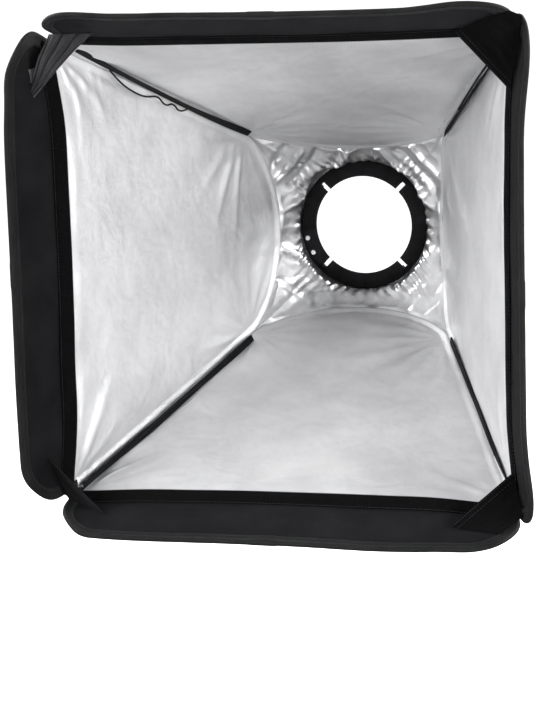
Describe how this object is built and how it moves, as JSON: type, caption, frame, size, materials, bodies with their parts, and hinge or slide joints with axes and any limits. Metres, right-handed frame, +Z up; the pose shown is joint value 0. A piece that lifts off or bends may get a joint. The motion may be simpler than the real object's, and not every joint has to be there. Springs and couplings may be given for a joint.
{
  "type": "studio softbox",
  "caption": "Square folding fabric softbox with a silver-lined funnel and a black front lip, turning on a metal ring in a tilting bracket that clamps on a light stand and holds a flash.",
  "frame": {"origin": "mouth of the stand socket, on the socket's axis", "axes": "+Z up along the socket into the clamp, the box opens towards -Y, +X to the right seen from the front"},
  "size_m": [0.5398, 0.6042, 0.5398],
  "materials": {
    "black_cloth": "matte black woven nylon",
    "edge_binding": "black ribbed binding tape",
    "silver_lining": "satin silver-coated cloth",
    "silver_foil": "bright silver-coated cloth, creased",
    "hook_tape": "black hook-and-loop tape",
    "black_webbing": "black woven webbing",
    "black_elastic": "black round elastic",
    "label": "plain grey woven tab",
    "spring_steel": "bare spring steel",
    "black_metal": "satin black coating on aluminium and steel",
    "zinc_steel": "zinc-plated steel",
    "black_plastic": "textured black nylon"
  },
  "bodies": {
    "stand_clamp": {"stand_clamp": "black_plastic", "tilt_bolt": "zinc_steel", "tilt_washers": "zinc_steel"},
    "bracket": {"tilt_knuckle": "black_metal", "knuckle_screws": "zinc_steel", "bracket_arm": "black_metal", "arm_bolts": "zinc_steel", "bracket_hoop": "black_metal"},
    "tilt_lever": {"tilt_lever": "black_plastic"},
    "stand_screw": {"stand_screw": "black_plastic"},
    "shoe": {"shoe_carriage": "black_plastic", "cold_shoe": "black_metal", "shoe_screws": "zinc_steel"},
    "shoe_screw": {"shoe_thumbscrew": "black_plastic"},
    "softbox": {"spring_wire_top": "spring_steel", "binding_top": "edge_binding", "cloth_top": "black_cloth", "lining_top": "silver_lining", "hook_band_top": "hook_tape", "spring_wire_right": "spring_steel", "binding_right": "edge_binding", "cloth_right": "black_cloth", "lining_right": "silver_lining", "hook_band_right": "hook_tape", "spring_wire_bottom": "spring_steel", "binding_bottom": "edge_binding", "cloth_bottom": "black_cloth", "lining_bottom": "silver_lining", "hook_band_bottom": "hook_tape", "spring_wire_left": "spring_steel", "binding_left": "edge_binding", "cloth_left": "black_cloth", "lining_left": "silver_lining", "hook_band_left": "hook_tape", "corner_strap_top_right": "black_webbing", "seam_tape_top_right": "edge_binding", "gusset_top_right": "black_cloth", "diffuser_loop_top_right": "black_elastic", "corner_strap_bottom_right": "black_webbing", "seam_tape_bottom_right": "edge_binding", "gusset_bottom_right": "black_cloth", "diffuser_loop_bottom_right": "black_elastic", "corner_strap_bottom_left": "black_webbing", "seam_tape_bottom_left": "edge_binding", "gusset_bottom_left": "black_cloth", "diffuser_loop_bottom_left": "black_elastic", "corner_strap_top_left": "black_webbing", "seam_tape_top_left": "edge_binding", "gusset_top_left": "black_cloth", "diffuser_loop_top_left": "black_elastic", "label_tab": "label", "rear_panel": "silver_foil", "speed_ring": "black_metal", "rear_ring": "black_metal", "ring_screws": "zinc_steel", "catch_screws": "zinc_steel"},
    "ring_catch": {"ring_catch": "zinc_steel"}
  },
  "joints": [
    {"name": "tilt", "type": "hinge", "parent": "stand_clamp", "child": "bracket", "pos_m": [0, 0, 0.078], "axis": [1, 0, 0], "range_deg": [-90, 60]},
    {"name": "tilt_lever_turn", "type": "hinge", "parent": "stand_clamp", "child": "tilt_lever", "pos_m": [0.03, 0, 0.078], "axis": [1, 0, 0], "range_deg": [-75, 75]},
    {"name": "stand_screw_turn", "type": "hinge", "parent": "stand_clamp", "child": "stand_screw", "pos_m": [0, -0.03, 0.022], "axis": [0, 1, 0], "range_deg": [0, 720]},
    {"name": "shoe_slide", "type": "slide", "parent": "bracket", "child": "shoe", "axis": [0, 1, 0], "range_m": [-0.014, 0.034]},
    {"name": "shoe_screw_turn", "type": "hinge", "parent": "shoe", "child": "shoe_screw", "pos_m": [-0.03, 0.056, 0.1035], "axis": [1, 0, 0], "range_deg": [0, 720]},
    {"name": "softbox_turn", "type": "hinge", "parent": "bracket", "child": "softbox", "pos_m": [0, -0.02, 0.24], "axis": [0, 1, 0], "continuous": true},
    {"name": "catch_swing", "type": "hinge", "parent": "softbox", "child": "ring_catch", "pos_m": [-0.06163, -0.0135, 0.20723], "axis": [0, 1, 0], "range_deg": [0, 16]}
  ]
}
